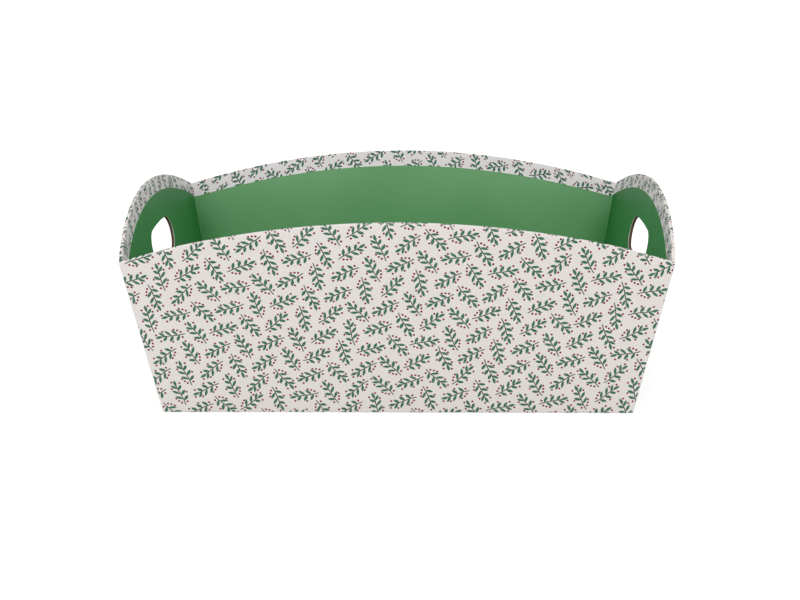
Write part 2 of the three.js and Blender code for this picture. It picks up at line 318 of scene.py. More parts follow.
class Sheet:
    """Points and faces of one surface, with a place on the flat sheet and two marks for each point: its fold
    and its share of painted shade.
    """

    def __init__(self):
        self.points = []
        self.flat = []
        self.folds = []
        self.deeps = []
        self.faces = []
        self.wall = None

    def add(self, point, flat, fold=0.0, deep=0.0):
        """Adds one point and gives its number."""
        self.points.append(Vector(point))
        self.flat.append(flat)
        self.folds.append(fold)
        self.deeps.append(deep)
        return len(self.points) - 1

    def grid(self, rows):
        """Rows of (point, flat, fold), joined into quads."""
        numbers = [[self.add(*item) for item in row] for row in rows]
        for low, high in zip(numbers, numbers[1:]):
            for i in range(len(low) - 1):
                self.faces.append((low[i], low[i + 1], high[i + 1], high[i]))

    def patch(self, loop, hole, inner, lift, fold=None, deep=None):
        """A flat outline with an optional hole, filled with triangles over the inner points."""
        points = [Vector(p) for p in loop + hole + inner]
        count = len(loop)
        edges = [(i, (i + 1) % count) for i in range(count)]
        edges += [(count + i, count + (i + 1) % len(hole)) for i in range(len(hole))]
        found, _, faces, *_ = delaunay_2d_cdt(points, edges, [], FILL_INSIDE, FILL_NEAR)
        numbers = []
        for x, y in found:
            marks = [mark(x, y) if mark else 0.0 for mark in (fold, deep)]
            numbers.append(self.add((x, y, lift(x, y)), (x, y), *marks))
        for face in faces:
            middle = sum((found[i] for i in face), Vector((0, 0))) / len(face)
            if not (hole and hole_distance(middle.x, middle.y) < 0):
                self.faces.append(tuple(numbers[i] for i in face))

    def bend(self, wall):
        """Swells the sheet out with its wall."""
        self.wall = wall
        for point in self.points:
            point.z += wall.bow(point.x, point.y)

    def build(self, name, matrix, thickness, materials, shift=(0.0, 0.0), flipped=False):
        """The sheet as a solid piece, with materials for its shown face, its cut edges and its back."""
        mesh = bpy.data.meshes.new(name)
        faces = [tuple(reversed(face)) for face in self.faces] if flipped else self.faces
        mesh.from_pydata([tuple(p) for p in self.points], [], faces)
        sheet_map = mesh.uv_layers.new(name="Sheet")
        for loop in mesh.loops:
            s, t = self.flat[loop.vertex_index]
            sheet_map.data[loop.index].uv = (s + shift[0], t + shift[1])
        # Marks of folds and shares of painted shade, for the materials
        for mark, values in (("fold", self.folds), ("deep", self.deeps)):
            mesh.attributes.new(mark, "FLOAT", "POINT").data.foreach_set("value", values)
        work = bmesh.new()
        work.from_mesh(mesh)
        bmesh.ops.remove_doubles(work, verts=work.verts, dist=WELD)
        work.to_mesh(mesh)
        work.free()
        for material in materials:
            mesh.materials.append(material)
        piece = bpy.data.objects.new(name + SHOWN, mesh)
        bpy.context.collection.objects.link(piece)
        thick = piece.modifiers.new("Thickness", "SOLIDIFY")
        thick.thickness = thickness
        thick.offset = -1
        thick.material_offset_rim = 1
        thick.material_offset = 2
        return settle(piece, matrix, self.wall)


def settle(piece, matrix, wall):
    """Applies the modifiers, notes how deep each point lies in its wall and puts the piece in place."""
    bpy.context.view_layer.update()
    graph = bpy.context.evaluated_depsgraph_get()
    made = bpy.data.meshes.new_from_object(piece.evaluated_get(graph), depsgraph=graph)
    old = piece.data
    piece.modifiers.clear()
    piece.data = made
    bpy.data.meshes.remove(old)
    made.name = piece.name
    made.shade_smooth()
    made.set_sharp_from_angle(angle=SHARP)
    depths = made.attributes.new("depth", "FLOAT", "POINT")
    for i, vertex in enumerate(made.vertices):
        x, y, z = vertex.co
        depths.data[i].value = z - wall.bow(x, y) if wall else z
    made.transform(matrix)
    return piece


# Printed wraps

def make_wrap(wall, materials):
    """Printed paper of one wall: turned under the base, up the outside, over the rim and turned in."""
    is_end = wall in CORNERS
    if is_end:
        outer_half = wall.reach(SKIN, SKIN) - CORNER_FOLD
        rim_half = wall.reach(TAB_FACE, TURN_IN_FACE)
    else:
        outer_half = wall.reach(-2 * GLUE, LONG_SKIN)
        rim_half = wall.reach(INSIDE - 2 * GLUE, TURN_IN_FACE)

    def skin(u, v):
        """Level of the outer face, which rises onto the corner laps of the long walls."""
        if is_end:
            return SKIN
        from_side = outer_half + v * SIN - abs(u)
        return LONG_SKIN - SKIN * smooth(OUTER_LAP, OUTER_LAP + LAP_BLEND, from_side)

    def face_top(u):
        """Upper end of the outer face, where the rim fold starts."""
        return wall.rim(u) + RIM_LIFT

    sheet = Sheet()
    add_foot(sheet, wall, outer_half, skin)
    hole = hole_outline() if is_end else []
    inner = inner_points(outer_half, FACE_LOW, face_top, hole)
    sheet.patch(wall_outline(outer_half, FACE_LOW, face_top), hole, inner, skin)
    outer_span = top_span(outer_half, face_top)
    rim = add_rim(sheet, wall, outer_span, top_span(rim_half, face_top), skin)
    for long_wall, long_sign, end_sign in CORNERS.get(wall, ()):
        last = 0 if end_sign < 0 else -1
        corner = outer_span[last]
        side = steps(FACE_LOW, face_top(corner), SIDE_STEPS) + [wall.rim(corner)]
        add_corner_lap(sheet, wall, long_wall, long_sign, end_sign, outer_half, side)
        tab_start = rim[last][2 * FOLD_STEPS + 1:-1]
        add_corner_tab(sheet, wall, long_wall, long_sign, end_sign, tab_start)
    sheet.bend(wall)
    return sheet.build(f"{wall.name}_wrap", wall.matrix, PAPER, materials, wall.print_shift)


def add_foot(sheet, wall, outer_half, skin):
    """Strip of a wrap under the base, with mitred ends, and the fold up to the face."""
    inward = Vector((-COS, -SIN))
    marks = [0.0, 0.0] + FOLD_MARKS
    columns = []
    for share in steps(-1, 1, STATIONS):
        u = share * (outer_half + FACE_LOW * SIN)
        depth = skin(u, 0)
        corner = Vector((depth, (depth * SIN - SKIN) / COS))
        strip = min(TURN_UNDER, max(2 * FOOT_FOLD, wall.half - 2 * SKIN - abs(u)))
        path = [corner + inward * strip, corner + inward * (strip + FOOT_PULL) / 2]
        path += fold_points(path[0], corner, corner + Vector((0, 1)), FOOT_FOLD)
        path[-1] = Vector((depth, FACE_LOW))
        lengths = travelled(path)
        column = []
        for (n, v), length, mark in zip(path, lengths, marks):
            column.append(((u, v, n), (u, FACE_LOW - (lengths[-1] - length)), mark))
        columns.append(column)
    sheet.grid(list(zip(*columns)))


def add_rim(sheet, wall, outer_span, rim_span, skin):
    """Two round folds over the rim and the strip turned in behind the lining, given as columns of points."""
    is_end = wall in CORNERS
    drops = steps(0, TAB_DROP, STRIP_STEPS)[1:] + [wall.turn_in + TUCK]
    marks = FOLD_MARKS + FOLD_MARKS + [0.0] * len(drops)
    columns = []
    for share in steps(-1, 1, STATIONS):
        start = across(outer_span, share)
        depth = skin(start, wall.rim(start) + RIM_LIFT)
        profile = fold_points((depth, -1), (depth, SKIN), (-1, SKIN), RIM_FOLD)
        profile += fold_points((1, SKIN), (TURN_IN_FACE, SKIN), (TURN_IN_FACE, -1), RIM_FOLD)
        profile += [Vector((TURN_IN_FACE, -drop)) for drop in drops]
        lengths = travelled(profile)
        column = []
        for k, (n, rise) in enumerate(profile):
            is_inside = n < INSIDE
            grow = min(0.0, rise - RIM_LIFT) * SIN
            if not is_end and not is_inside:
                grow += CORNER_CAP * min(1.0, k / FOLD_STEPS)
            u = across(rim_span if is_inside else outer_span, share, grow)
            flat = (u, wall.rim(u) + RIM_LIFT + lengths[k])
            column.append(((u, wall.rim(u) + rise, n), flat, marks[k]))
        columns.append(column)
    sheet.grid(list(zip(*columns)))
    return columns


def add_corner_lap(sheet, wall, long_wall, long_sign, end_sign, outer_half, side):
    """Flap of an end wrap round the outer corner, under the long wrap."""
    to_end = wall.matrix.inverted() @ long_wall.matrix
    along = (to_end.to_3x3() @ Vector((-long_sign, 0, 0))).normalized()
    rows = []
    for v in side:
        u = end_sign * (outer_half + v * SIN)
        edge = Vector((u, v, SKIN))
        corner = edge + Vector((end_sign * CORNER_FOLD, 0, 0))
        end = corner + along * CORNER_FOLD
        row = []
        for t, mark in zip(steps(0, 1, FOLD_STEPS), FOLD_MARKS):
            point = edge.lerp(corner, t).lerp(corner.lerp(end, t), t)
            row.append((point, (u + end_sign * t * CORNER_FOLD * CORNER_FOLD_RUN, v), mark))
        row.append((corner + along * OUTER_LAP, (u + end_sign * OUTER_LAP, v), 0.0))
        rows.append(row if end_sign > 0 else list(reversed(row)))
    sheet.grid(rows)


def add_corner_tab(sheet, wall, long_wall, long_sign, end_sign, start):
    """Tab of an end turn-in round the inner corner, over the long turn-in, from a column of points on."""
    to_end = wall.matrix.inverted() @ long_wall.matrix
    to_long = to_end.inverted()
    rows = []
    for number, (point, flat, _) in enumerate(start):
        first = to_long @ Vector(point)
        share = number / (len(start) - 1)
        row = [(point, flat, 0.0)]
        for distance in steps(0, INNER_LAP - TAB_SHADE, STRIP_STEPS)[1:] + [INNER_LAP]:
            u = first.x - long_sign * distance
            high = long_wall.rim(u) + RIM_LIFT
            v = high + share * (long_wall.lining_top(u) - TAB_HANG - high)
            place = Vector((u, v, first.z + long_wall.bow(u, v)))
            mark = -1.0 if distance == INNER_LAP else 0.0
            row.append((to_end @ place, (flat[0] + end_sign * distance, flat[1]), mark))
        rows.append(row if long_sign < 0 else list(reversed(row)))
    sheet.grid(rows)


# Linings, boards, tapes and base panels

def make_liner(wall, materials):
    """Lining panel of one wall, glued flat and lying over the end of the turn-in."""
    is_end = wall in CORNERS
    half_foot = wall.reach(LINER_FIELD - LINER_BUTT if is_end else LINER_FIELD + CARD, LINER_FIELD)
    low = (BOARD + GLUE + CARD) / COS + LINER_GAP
    hole = hole_outline() if is_end else []

    def level(u, v):
        """Level of the face, down from the turn-in to the board, and pressed flat at a hand hole."""
        below_edge = wall.lining_top(u) - v
        found = LINER_FACE + (LINER_FIELD - LINER_FACE) * smooth(TUCK, TUCK + LINER_BLEND, below_edge)
        if is_end:
            found += (LINER_PRESSED - found) * (1 - smooth(0, 2 * HOLE_RADIUS, hole_distance(u, v)))
        return found

    def crease(u, v):
        """1 along the upright corners, where the lining gets a painted highlight."""
        return 1.0 if half_foot + v * SIN - abs(u) < CREASE / 2 else 0.0

    def deep(u, v):
        """Share of painted shade: 1 in the back corners, falling off along the wall and on the back wall also
        upwards.
        """
        side = wall.back_side
        if side is None:
            return 0.0
        from_corner = wall.corner - (side * u if side else abs(u))
        share = SHADE_CORE * math.exp(-from_corner / (SHADE_ALONG if is_end else SHADE_ACROSS))
        if not is_end:
            share *= 1 - smooth(*SHADE_HEIGHTS, v)
            share = max(share, BACK_SHADE * (1 - smooth(*BACK_SHADE_HEIGHTS, v)))
        return min(1.0, share)

    sheet = Sheet()
    inner = inner_points(half_foot, low, wall.lining_top, hole)
    for end in top_span(half_foot, wall.lining_top):
        for v in steps(low, wall.lining_top(end), SIDE_STEPS)[1:-1]:
            inner.append((math.copysign(half_foot + v * SIN - CREASE, end), v))
    sheet.patch(wall_outline(half_foot, low, wall.lining_top), hole, inner, level, crease, deep)
    sheet.bend(wall)
    return sheet.build(f"{wall.name}_liner", wall.matrix, CARD, materials, flipped=True)


def make_board(wall, materials):
    """Greyboard of one wall, with the hand hole through it on the ends."""
    is_end = wall in CORNERS
    half_foot = wall.reach(INSIDE - 2 * GLUE) if is_end else wall.half - BOARD_EASE
    hole = hole_outline() if is_end else []

    def top(u):
        return wall.rim(u) - BOARD_EASE

    def level(u, v):
        return BOARD_FACE

    sheet = Sheet()
    inner = inner_points(half_foot, 0.0, top, hole)
    sheet.patch(wall_outline(half_foot, 0.0, top), hole, inner, level)
    sheet.bend(wall)
    return sheet.build(f"{wall.name}_board", wall.matrix, BOARD + BOARD_FACE, materials)


def make_stay(end, long_wall, long_sign, end_sign, materials):
    """Folded tape in an inside corner, behind the linings."""
    low = (BOARD + 4 * GLUE) / COS
    high = SLANT - LONG_TURN_IN - TUCK - STAY_WIDTH / 4
    rows = []
    for v in steps(low, high, SIDE_STEPS):
        row = []
        for distance in steps(-STAY_WIDTH, STAY_WIDTH, 2 * STRIP_STEPS):
            wall, sign = (long_wall, long_sign) if distance > 0 else (end, end_sign)
            u = sign * (wall.reach(STAY_FACE, STAY_FACE) + v * SIN - abs(distance))
            point = wall.matrix @ Vector((u, v, STAY_FACE + wall.bow(u, v)))
            row.append((point, (distance, v), 0.0))
        rows.append(row if long_sign < 0 else list(reversed(row)))
    sheet = Sheet()
    sheet.grid(rows)
    name = f"corner_stay_{long_wall.name}_{end.name.removesuffix('_end')}"
    return sheet.build(name, Matrix.Identity(4), TAPE, materials, flipped=True)


def make_base_panel(name, inset, level, thickness, materials, swell, upward):
    """Panel of the base with rounded corners, set in from the foot and swollen a little in the middle."""
    width, depth = BASE_WIDTH - 2 * inset, BASE_DEPTH - 2 * inset
    loop = []
    for right_left, back_front, start in ((1, -1, -90), (1, 1, 0), (-1, 1, 90), (-1, -1, 180)):
        for angle in steps(start, start + 90, PANEL_CORNER_STEPS):
            turned = math.radians(angle)
            loop.append((
                right_left * (width / 2 - PANEL_RADIUS) + PANEL_RADIUS * math.cos(turned),
                back_front * (depth / 2 - PANEL_RADIUS) + PANEL_RADIUS * math.sin(turned),
            ))
    columns, rows = int(width / 2 / PANEL_GRID), int(depth / 2 / PANEL_GRID)
    inner = [
        (i * PANEL_GRID, j * PANEL_GRID)
        for i in range(-columns, columns + 1) for j in range(-rows, rows + 1)
        if abs(i * PANEL_GRID) < width / 2 - PANEL_CLEAR and abs(j * PANEL_GRID) < depth / 2 - PANEL_CLEAR
    ]

    def lift(x, y):
        return level + swell * (1 - (2 * x / width) ** 2) * (1 - (2 * y / depth) ** 2)

    sheet = Sheet()
    sheet.patch(loop, [], inner, lift)
    return sheet.build(name, Matrix.Identity(4), thickness, materials, flipped=not upward)


# Materials

class Nodes:
    """Short ways to write a node tree of maths."""

    def __init__(self, tree):
        self.tree = tree
        tree.nodes.clear()

    def node(self, kind, **settings):
        made = self.tree.nodes.new(kind)
        for key, value in settings.items():
            setattr(made, key, value)
        return made

    def put(self, socket, value):
        """Links a socket to another, or sets it to a plain value."""
        if isinstance(value, bpy.types.NodeSocket):
            self.tree.links.new(value, socket)
        else:
            socket.default_value = value

    def math(self, operation, *values):
        made = self.node("ShaderNodeMath", operation=operation)
        for socket, value in zip(made.inputs, values):
            self.put(socket, value)
        return made.outputs[0]

    def add(self, a, b):
        return self.math("ADD", a, b)

    def sub(self, a, b):
        return self.math("SUBTRACT", a, b)

    def mul(self, a, b):
        return self.math("MULTIPLY", a, b)

    def least(self, a, b):
        return self.math("MINIMUM", a, b)

    def most(self, a, b):
        return self.math("MAXIMUM", a, b)

    def size(self, a):
        return self.math("ABSOLUTE", a)

    def pick(self, choice, if_one, if_zero):
        """if_one where choice is 1 and if_zero where it is 0."""
        made = self.node("ShaderNodeMix", data_type="FLOAT")
        self.put(made.inputs[0], choice)
        self.put(made.inputs[2], if_zero)
        self.put(made.inputs[3], if_one)
        return made.outputs[0]

    def colours(self, share, first, second):
        """The first colour with a share of the second."""
        made = self.node("ShaderNodeMix", data_type="RGBA")
        self.put(made.inputs[0], share)
        self.put(made.inputs[6], first)
        self.put(made.inputs[7], second)
        return made.outputs[2]

    def scaled(self, value, from_low, from_high, to_low, to_high, kind="LINEAR"):
        """A value between two limits brought between two others."""
        made = self.node("ShaderNodeMapRange", interpolation_type=kind)
        for socket, item in zip(made.inputs, (value, from_low, from_high, to_low, to_high)):
            self.put(socket, item)
        return made.outputs[0]

    def softly(self, value, *limits):
        """The same, with a soft start and end."""
        return self.scaled(value, *limits, kind="SMOOTHSTEP")

    def edge(self, distance, soft):
        """0 outside and 1 inside a shape, from its signed distance."""
        return self.softly(distance, -soft, soft, 0.0, 1.0)

    def noise(self, vector, scale, detail=2.0, rough=0.5):
        made = self.node("ShaderNodeTexNoise")
        self.put(made.inputs["Vector"], vector)
        made.inputs["Scale"].default_value = scale
        made.inputs["Detail"].default_value = detail
        made.inputs["Roughness"].default_value = rough
        return made.outputs["Fac"]

    def mark(self, name):
        """A value that the mesh holds for each point."""
        return self.node("ShaderNodeAttribute", attribute_name=name).outputs["Fac"]

    def place(self, kind="Object"):
        return self.node("ShaderNodeTexCoord").outputs[kind]

    def split(self, vector):
        made = self.node("ShaderNodeSeparateXYZ")
        self.put(made.inputs[0], vector)
        return made.outputs

    def joined(self, *values):
        made = self.node("ShaderNodeCombineXYZ")
        for socket, value in zip(made.inputs, values):
            self.put(socket, value)
        return made.outputs[0]

    def ray(self, kind):
        """1 for rays of that kind."""
        return self.node("ShaderNodeLightPath").outputs[kind]


class Surface(Nodes):
    """A new material with one shader."""

    def __init__(self, name):
        self.material = bpy.data.materials.new(name)
        self.material.use_nodes = True
        super().__init__(self.material.node_tree)
        self.shader = self.node("ShaderNodeBsdfPrincipled")
        output = self.node("ShaderNodeOutputMaterial")
        self.put(output.inputs["Surface"], self.shader.outputs["BSDF"])

    def bump(self, main, second, distance, strength):
        """Relief of two noises, the first one stronger."""
        made = self.node("ShaderNodeBump")
        made.inputs["Distance"].default_value = distance
        made.inputs["Strength"].default_value = strength
        height = self.add(self.mul(main, BUMP_SHARES[0]), self.mul(second, BUMP_SHARES[1]))
        self.put(made.inputs["Height"], height)
        self.put(self.shader.inputs["Normal"], made.outputs[0])

    def finish(self, colour, roughness, shine):
        self.put(self.shader.inputs["Base Color"], colour)
        self.put(self.shader.inputs["Roughness"], roughness)
        self.put(self.shader.inputs["Specular IOR Level"], shine)
        return self.material


def rgb(red, green, blue):
    """A colour as seen, from 0 to 255, as the linear colour that shaders use."""
    def linear(value):
        c = value / 255
        return c / 12.92 if c <= 0.04045 else ((c + 0.055) / 1.055) ** 2.4
    return (linear(red), linear(green), linear(blue), 1.0)


# Ranges in which most of a noise lies
WIDE = (0.3, 0.7)
NARROW = (0.35, 0.65)

# How strongly the marks of the paper show
GROUND_CLOUDS = (0.0, 0.10)
PAPER_CLOUDS = (0.0, 0.35)
PAPER_GRAIN = (0.0, 0.2)
FOLD_PALENESS = (0.15, 0.75)
# the next is how strongly the painted highlight shows along the creases of the lining
CREASE_HIGHLIGHT_SHARE = (0.1, 0.7)
TAB_EDGE_SHADE = 0.8
LAYER_SHARE = (0.0, 0.7)     # in the cut edge of the board
FIBRE_SHARE = (0.0, 0.3)
PLY_SHARE = 0.8
PLY_SOFT = 0.25 * PLY
BUMP_SHARES = (0.6, 0.4)     # of the main noise and of the second one
PRINT_ROUGHNESS = (0.50, 0.60)
BOARD_ROUGHNESS = (0.88, 0.98)
SMOOTHER, ROUGHER = 0.04, 0.05    # how far the roughness of plain paper varies
SHADED_SHINE = 0.1             # share of the shine that is left where the painted shade on the lining is strongest
LAYER_SQUEEZE = 14.0         # how much thinner than long the layers of the board are

# Colours of the printed paper
GROUND = rgb(230, 224, 221)
GROUND_CLOUD = rgb(214, 205, 200)
STRIP_LIGHT_GROUND = rgb(233, 227, 229)    # of the turned-in strip, with painted light: lighter and less yellow than the ground
LEAF = rgb(60, 106, 84)
LEAF_LIGHT = rgb(71, 118, 95)
STEM_INK = rgb(58, 74, 65)
BERRY = rgb(128, 32, 56)
PALE_FOLD = rgb(232, 228, 222)
EDGE_SHADE = rgb(96, 104, 96)

# Colours of the greyboard, its brown darkened with painted shade for the cut edges in the hand holes, and of
# the painted highlight on the lining
CORE_LIGHT = rgb(92, 72, 59)
CORE_DARK = rgb(52, 40, 33)
PLY_COLOUR = rgb(122, 116, 88)
CREASE_HIGHLIGHT_GREEN = rgb(112, 174, 122)

# Layout of the print, in millimetres
PRINT_UNIT = 14.6            # width of one brick of the herringbone that the sprigs lie on
PRINT_SCALE = 0.87           # of the whole design, as printed
PRINT_TURN = math.radians(27)
PRINT_SWAY = math.radians(26)    # range of the random turn of each sprig
INK_SOFT = 0.07              # softness of the edge of the ink
INK_UNEVEN = 0.10            # how far that edge wanders
LEAF_VARIETY = 0.55          # how far the sprigs differ in their green

# One sprig, in millimetres along and across its stem
STEM_HALF_WIDTH = 0.44
STEM_ENDS = (-13.0, 8.0)
STEM_BEND = 1.1              # how far the stem bends to each side
STEM_WAVE = 0.15             # of that bend, in radians for each millimetre
LEAF_PAIRS = ((-7.4, 52, 6.8, 1.24), (-1.9, 50, 7.0, 1.28), (3.5, 44, 6.1, 1.22))
TIP_LEAF = (6.3, 0, 6.6, 1.30)    # leaves have a start on the stem, an angle, a length and a half width
LEAF_LIFT = 0.2              # from the middle of the stem to the foot of a paired leaf
LEAF_STAGGER = 0.75          # how far the leaves of a pair are shifted along the stem, one each way
LEAF_HEART = 0.9             # how far inside a leaf its paler heart starts
HEART_SOFT = 0.35
LOW_BERRIES = (-9.9, 2.6)    # a pair, one on each side
LOW_BERRY_RADIUS = 0.98
BERRIES = ((-4.9, 5.7), (-0.6, -5.9), (5.2, 4.7), (9.2, -4.0), (-7.6, 4.4), (11.4, 2.6))
BERRY_RADIUS = 0.95


def leaf_shape(n, u, v, lift, start, angle, length, half_width):
    """Signed distance, in mm, of a pointed leaf that grows at an angle from a start on the stem."""
    cos, sin = math.cos(math.radians(angle)), math.sin(math.radians(angle))
    du, dv = n.sub(u, start), n.sub(v, lift)
    along = n.mul(n.add(n.mul(du, cos), n.mul(dv, sin)), 1 / length)
    aside = n.sub(n.mul(dv, cos), n.mul(du, sin))
    width = n.mul(n.mul(along, n.sub(1.0, along)), 4 * half_width)
    return n.sub(width, n.size(aside))


def berry_shape(n, u, v, place, radius):
    """Signed distance, in mm, of a round berry."""
    du, dv = n.sub(u, place[0]), n.sub(v, place[1])
    return n.sub(radius, n.math("SQRT", n.add(n.mul(du, du), n.mul(dv, dv))))


def sprig_place(n):
    """Where a point of the sheet lies on its sprig, in mm along and across the stem, and a random value."""
    flat = n.split(n.node("ShaderNodeUVMap", uv_map="Sheet").outputs[0])
    bricks = 1 / (PRINT_UNIT * PRINT_SCALE * MM)
    s, t = n.mul(flat[0], bricks), n.mul(flat[1], bricks)
    cos, sin = math.cos(PRINT_TURN), math.sin(PRINT_TURN)
    x = n.add(n.mul(s, cos), n.mul(t, sin))
    y = n.sub(n.mul(t, cos), n.mul(s, sin))

    # Which brick a point is in, and where in it: bricks are two units long, so four kinds of unit take turns
    i, j = n.math("FLOOR", x), n.math("FLOOR", y)
    fx, fy = n.sub(x, i), n.sub(y, j)
    kind = n.math("FLOORED_MODULO", n.sub(i, j), 4.0)
    lying = n.math("LESS_THAN", kind, 1.5)
    is_first = n.math("LESS_THAN", kind, 0.5)
    is_last = n.math("GREATER_THAN", kind, 2.5)
    along = n.sub(n.pick(lying, fx, fy), n.add(is_first, is_last))
    aside = n.sub(n.pick(lying, fy, fx), 0.5)
    centre_x = n.add(i, n.pick(lying, is_first, 0.5))
    centre_y = n.add(j, n.pick(lying, 0.5, is_last))

    # Each sprig points either way, is mirrored or not and turned a little, by chance
    chance = n.node("ShaderNodeTexWhiteNoise", noise_dimensions="3D")
    n.put(chance.inputs["Vector"], n.joined(centre_x, centre_y))
    parts = n.node("ShaderNodeSeparateColor")
    n.put(parts.inputs[0], chance.outputs["Color"])
    way, hand = (
        n.sub(n.mul(n.math("GREATER_THAN", part, 0.5), 2.0), 1.0) for part in parts.outputs[:2]
    )
    tilt = n.mul(n.sub(parts.outputs[2], 0.5), PRINT_SWAY)
    u0, v0 = n.mul(n.mul(along, way), PRINT_UNIT), n.mul(n.mul(aside, hand), PRINT_UNIT)
    turn_cos, turn_sin = n.math("COSINE", tilt), n.math("SINE", tilt)
    u = n.add(n.mul(u0, turn_cos), n.mul(v0, turn_sin))
    v = n.sub(n.mul(v0, turn_cos), n.mul(u0, turn_sin))
    v = n.sub(v, n.mul(n.math("SINE", n.mul(u, STEM_WAVE)), STEM_BEND))
    return u, v, parts.outputs[2]


def printed_paper():
    """Off-white paper with a print of leafy sprigs and berries, laid in a turned herringbone."""
    n = Surface("printed_paper")
    u, v, chance = sprig_place(n)

    # One sprig: a stem, three pairs of leaves and one at the tip, and berries between them
    side = n.size(v)
    shifted = n.sub(u, n.mul(n.math("SIGN", v), LEAF_STAGGER))
    leaves = leaf_shape(n, u, v, 0.0, *TIP_LEAF)
    for pair in LEAF_PAIRS:
        leaves = n.most(leaves, leaf_shape(n, shifted, side, LEAF_LIFT, *pair))
    in_length = n.least(n.sub(u, STEM_ENDS[0]), n.sub(STEM_ENDS[1], u))
    stem = n.least(n.sub(STEM_HALF_WIDTH, side), in_length)
    berries = berry_shape(n, u, side, LOW_BERRIES, LOW_BERRY_RADIUS)
    for berry in BERRIES:
        berries = n.most(berries, berry_shape(n, u, v, berry, BERRY_RADIUS))

    # Paper, with painted light on the turned-in strip, which is lighter and less yellow
    place = n.place()
    grain = n.noise(place, scale=900, detail=3.0)
    cloud = n.noise(place, scale=14)
    ground = n.colours(n.scaled(cloud, *WIDE, *GROUND_CLOUDS), GROUND, GROUND_CLOUD)
    ground = n.colours(n.math("LESS_THAN", n.mark("depth"), INSIDE), ground, STRIP_LIGHT_GROUND)

    # Inks, with uneven edges
    green = n.colours(n.mul(chance, LEAF_VARIETY), LEAF, LEAF_LIGHT)
    green = n.colours(n.edge(n.sub(leaves, LEAF_HEART), HEART_SOFT), green, LEAF_LIGHT)
    uneven = n.mul(n.sub(grain, 0.5), INK_UNEVEN)
    colour = ground
    for shape, ink in ((stem, STEM_INK), (leaves, green), (berries, BERRY)):
        colour = n.colours(n.edge(n.add(shape, uneven), INK_SOFT), colour, ink)

    # Folds are paler in patches, and the free edge of a tab is shaded
    fold = n.mark("fold")
    patches = n.scaled(n.noise(place, scale=260, detail=4.0, rough=0.6), *NARROW, *FOLD_PALENESS)
    colour = n.colours(n.mul(n.most(fold, 0.0), patches), colour, PALE_FOLD)
    shaded = n.mul(n.most(n.mul(fold, -1.0), 0.0), TAB_EDGE_SHADE)
    colour = n.colours(shaded, colour, EDGE_SHADE)
    n.bump(grain, n.noise(place, scale=120), distance=0.06 * MM, strength=0.35)
    return n.finish(colour, roughness=n.scaled(cloud, *WIDE, *PRINT_ROUGHNESS), shine=0.12)


def paper(name, colour, dark, roughness, shine, worn=None, deep=None):
    """Plain paper or card with a fine grain and soft clouds; a lining also gets a painted highlight along its
    creases and painted shade, a darker and duller green, towards the back corners."""
    n = Surface(name)
    place = n.place()
    grain = n.noise(place, scale=700, detail=3.0)
    cloud = n.noise(place, scale=11, detail=3.0)
    share = n.add(n.scaled(cloud, *WIDE, *PAPER_CLOUDS), n.scaled(grain, *WIDE, *PAPER_GRAIN))
    shown = n.colours(share, colour, dark)
    if deep:
        # Painted shade: a darker green and less shine towards the back corners and low on the back wall
        corner = n.mark("deep")
        shown = n.colours(corner, shown, deep)
        shine = n.scaled(corner, 0.0, 1.0, shine, SHADED_SHINE * shine)
    # Painted highlight along the upright creases of the lining, in patches
    if worn:
        patches = n.scaled(n.noise(place, scale=60, detail=3.0), *NARROW, *CREASE_HIGHLIGHT_SHARE)
        shown = n.colours(n.mul(n.mark("fold"), patches), shown, worn)
    n.bump(grain, n.noise(place, scale=90), distance=0.05 * MM, strength=0.4)
    return n.finish(shown, n.scaled(cloud, *WIDE, roughness - SMOOTHER, roughness + ROUGHER), shine)


def greyboard():
    """Raw board of pressed fibre, in thin layers that show where it is cut."""
    n = Surface("greyboard")
    place = n.place()
    depth = n.mark("depth")
    x, y, z = n.split(place)
    squeezed = n.joined(x, y, n.add(z, n.mul(depth, LAYER_SQUEEZE)))
    layers = n.noise(squeezed, scale=190, detail=4.0, rough=0.6)
    fibre = n.noise(place, scale=1400, detail=3.0, rough=0.6)
    share = n.add(n.scaled(layers, *WIDE, *LAYER_SHARE), n.scaled(fibre, *NARROW, *FIBRE_SHARE))
    # Brown layers, darkened with painted shade for the cut edges in the hand holes
    core = n.colours(share, CORE_LIGHT, CORE_DARK)
    ply = n.edge(n.sub(PLY - BOARD, depth), PLY_SOFT)
    colour = n.colours(n.mul(ply, PLY_SHARE), core, PLY_COLOUR)
    n.bump(layers, fibre, distance=0.12 * MM, strength=0.5)
    return n.finish(colour, roughness=n.scaled(fibre, *WIDE, *BOARD_ROUGHNESS), shine=0.2)


print_material = printed_paper()
board_material = greyboard()
paper_edge = paper("paper_edge", rgb(226, 222, 215), rgb(206, 200, 190), roughness=0.75, shine=0.25)
paper_back = paper("paper_back", rgb(224, 219, 210), rgb(208, 202, 192), roughness=0.8, shine=0.2)
base_paper = paper("base_paper", rgb(228, 223, 216), rgb(212, 206, 197), roughness=0.75, shine=0.25)
stay_material = paper("stay_tape", rgb(181, 154, 114), rgb(160, 132, 94), roughness=0.85, shine=0.2)
lining_edge = paper("lining_edge", rgb(222, 230, 216), rgb(204, 216, 200), roughness=0.75, shine=0.2)
# The lining; its last green is the painted shade towards the back corners
lining = paper(
    "green_lining", rgb(62, 148, 70), rgb(55, 136, 62), roughness=0.46, shine=1.0,
    worn=CREASE_HIGHLIGHT_GREEN, deep=rgb(49, 125, 60),
)
# A copy of the lining for the ends, painted a bluer green for the cooler light they reflect; its last green
# is the painted shade towards the back corners
end_lining_painted_light = paper(
    "green_end_lining", rgb(57, 147, 75), rgb(50, 135, 67), roughness=0.46, shine=1.0,
    worn=CREASE_HIGHLIGHT_GREEN, deep=rgb(49, 127, 63),
)

